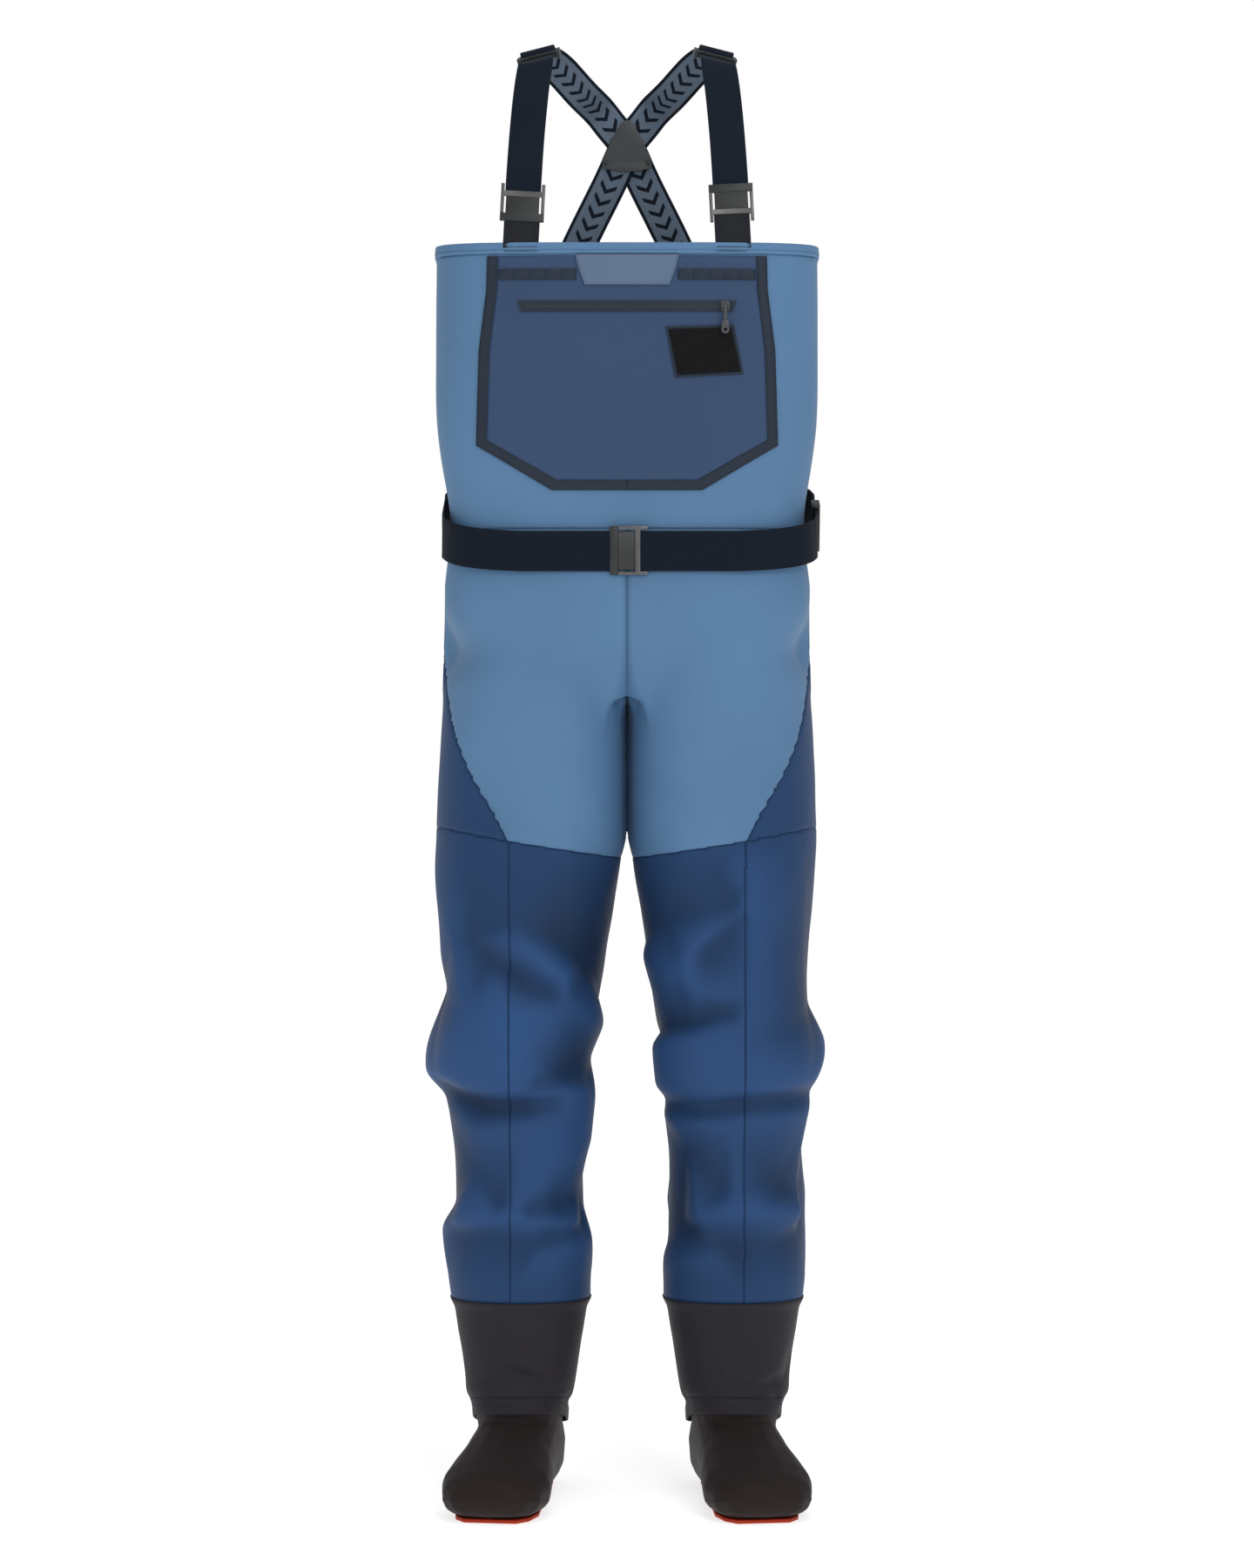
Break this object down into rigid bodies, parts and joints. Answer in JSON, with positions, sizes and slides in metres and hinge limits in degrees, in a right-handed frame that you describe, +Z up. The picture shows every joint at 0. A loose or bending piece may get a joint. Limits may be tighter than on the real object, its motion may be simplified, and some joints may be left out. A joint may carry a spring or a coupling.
{
  "type": "chest waders",
  "caption": "Stockingfoot chest waders: hollow bib and legs with a zipped chest pocket, wading belt, crossed elastic suspenders, neoprene gravel guards and booties.",
  "frame": {"origin": "midway between the shoulder straps, at the height of their undersides where they rest on the shoulders", "axes": "+Z up, -Y the wearer's front, +X the wearer's left"},
  "size_m": [0.424, 0.3372, 1.5755],
  "materials": {
    "upper_fabric": "matt woven waterproof shell cloth, steel blue",
    "lower_fabric": "matt woven waterproof shell cloth, deep blue",
    "pocket_fabric": "matt woven cloth, indigo",
    "binding_tape": "smooth satin welded tape",
    "strap_webbing": "dense navy elastic webbing",
    "ribbed_webbing": "black ribbed webbing",
    "printed_webbing": "grey-blue printed elastic webbing with navy edges",
    "neoprene_guard": "knit-faced charcoal neoprene",
    "neoprene_bootie": "knit-faced brown-black neoprene",
    "sole_rubber": "red-orange high-density foam rubber",
    "buckle_metal": "gunmetal coating with brushed wear",
    "moulded_plastic": "fine-grained dark grey moulding",
    "patch_foam": "black looped fly foam",
    "tab_fabric": "grey-blue woven tab"
  },
  "bodies": {
    "root": {"bib_front": "upper_fabric", "bib_back": "upper_fabric", "top_hem_front": "upper_fabric", "top_hem_back": "upper_fabric", "left_thigh_front": "upper_fabric", "right_thigh_front": "upper_fabric", "left_seat": "upper_fabric", "right_seat": "upper_fabric", "left_belt_loop": "upper_fabric", "right_belt_loop": "upper_fabric", "left_side_panel": "lower_fabric", "right_side_panel": "lower_fabric", "left_inner_shin": "lower_fabric", "right_inner_shin": "lower_fabric", "left_outer_shin": "lower_fabric", "right_outer_shin": "lower_fabric", "pocket_panel": "pocket_fabric", "pocket_tape": "binding_tape", "fly_patch_border": "binding_tape", "zip_tape": "binding_tape", "left_daisy_chain": "binding_tape", "right_daisy_chain": "binding_tape", "left_shoulder_strap": "strap_webbing", "right_shoulder_strap": "strap_webbing", "belt_front_strap": "strap_webbing", "belt_body_strap": "strap_webbing", "left_front_webbing": "ribbed_webbing", "right_front_webbing": "ribbed_webbing", "left_back_strap": "printed_webbing", "right_back_strap": "printed_webbing", "left_gravel_guard": "neoprene_guard", "right_gravel_guard": "neoprene_guard", "left_guard_hem": "neoprene_guard", "right_guard_hem": "neoprene_guard", "left_bootie_shaft": "neoprene_bootie", "right_bootie_shaft": "neoprene_bootie", "left_bootie_foot": "neoprene_bootie", "right_bootie_foot": "neoprene_bootie", "left_sole": "sole_rubber", "right_sole": "sole_rubber", "right_buckle_tongue": "buckle_metal", "left_buckle_frame": "buckle_metal", "belt_frame": "buckle_metal", "yoke_plate_inner": "moulded_plastic", "yoke_plate_outer": "moulded_plastic", "left_yoke_rivet": "moulded_plastic", "right_yoke_rivet": "moulded_plastic", "fly_patch": "patch_foam", "front_tab": "tab_fabric"},
    "left_buckle_upper": {"left_buckle_tongue": "buckle_metal"},
    "right_buckle_upper": {"right_buckle_frame": "buckle_metal"},
    "belt_buckle_tongue": {"belt_tongue": "buckle_metal"},
    "zip_slider": {"zip_slider": "moulded_plastic"},
    "zip_pull": {"zip_pull": "moulded_plastic", "zip_grip": "moulded_plastic"},
    "left_shoulder_slider": {"left_shoulder_slider": "buckle_metal", "left_strap_fold": "strap_webbing"},
    "right_shoulder_slider": {"right_shoulder_slider": "buckle_metal", "right_strap_fold": "strap_webbing"},
    "belt_slider": {"belt_slider": "buckle_metal"}
  },
  "joints": [
    {"name": "left_buckle_release", "type": "slide", "parent": "root", "child": "left_buckle_upper", "axis": [-0.0497, 0.0895, 0.9947], "range_m": [0, 0.026], "deforming": ["left_shoulder_strap"]},
    {"name": "right_buckle_release", "type": "slide", "parent": "root", "child": "right_buckle_upper", "axis": [0.0497, 0.0895, 0.9947], "range_m": [0, 0.026], "deforming": ["right_shoulder_strap"]},
    {"name": "belt_buckle_release", "type": "slide", "parent": "root", "child": "belt_buckle_tongue", "axis": [-1, 0, 0], "range_m": [0, 0.026], "deforming": ["belt_front_strap"]},
    {"name": "zip_slide", "type": "slide", "parent": "root", "child": "zip_slider", "axis": [1, 0, 0], "range_m": [-0.208, 0]},
    {"name": "zip_pull_swing", "type": "hinge", "parent": "zip_slider", "child": "zip_pull", "pos_m": [0.104, -0.13179, -0.288], "axis": [-1, 0, 0], "range_deg": [0, 150]},
    {"name": "left_strap_adjust", "type": "slide", "parent": "root", "child": "left_shoulder_slider", "axis": [-0.0454, 0.9582, 0.2824], "range_m": [-0.03, 0]},
    {"name": "right_strap_adjust", "type": "slide", "parent": "root", "child": "right_shoulder_slider", "axis": [0.0454, 0.9582, 0.2824], "range_m": [-0.03, 0]},
    {"name": "belt_adjust", "type": "slide", "parent": "root", "child": "belt_slider", "axis": [0, 0.9502, 0.3117], "range_m": [-0.012, 0.012]}
  ]
}
